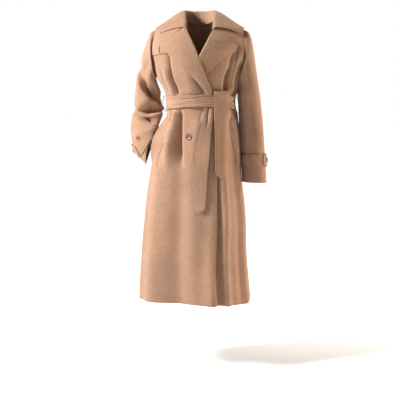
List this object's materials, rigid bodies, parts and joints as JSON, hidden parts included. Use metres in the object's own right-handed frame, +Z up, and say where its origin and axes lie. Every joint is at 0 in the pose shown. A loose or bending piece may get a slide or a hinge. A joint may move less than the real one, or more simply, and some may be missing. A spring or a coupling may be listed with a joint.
{
  "type": "wool wrap coat",
  "caption": "Long belted wrap coat in plain wool, empty in its worn form, with wide collar and lapels, storm flap, slanted welt pockets, cuff straps and a tied cloth belt.",
  "frame": {"origin": "middle of the neck base, on the line of the shoulder seams, where the coat rests on its wearer", "axes": "+Z up along the coat's length, +X towards the wearer's left side, so the front faces -Y"},
  "size_m": [0.5766, 0.336, 1.2182],
  "materials": {
    "camel_wool": "brushed wool coating with a short soft nap",
    "grey_thread": "twisted thread cord",
    "brown_button": "polished brown horn-like resin"
  },
  "bodies": {
    "root": {"back": "camel_wool", "front_right": "camel_wool", "front_left": "camel_wool", "lapel_right": "camel_wool", "lapel_left": "camel_wool", "collar": "camel_wool", "storm_flap": "camel_wool", "sleeve_right": "camel_wool", "sleeve_left": "camel_wool", "cuff_strap_right": "camel_wool", "cuff_strap_left": "camel_wool", "pocket_welt_right": "camel_wool", "pocket_welt_left": "camel_wool", "belt_band": "camel_wool", "belt_tail_over": "camel_wool", "belt_tail_under": "camel_wool", "belt_carrier_right": "grey_thread", "belt_carrier_left": "grey_thread", "strap_keeper_right": "grey_thread", "strap_keeper_left": "grey_thread", "front_button": "brown_button", "cuff_button_right": "brown_button", "cuff_button_left": "brown_button"}
  },
  "joints": []
}
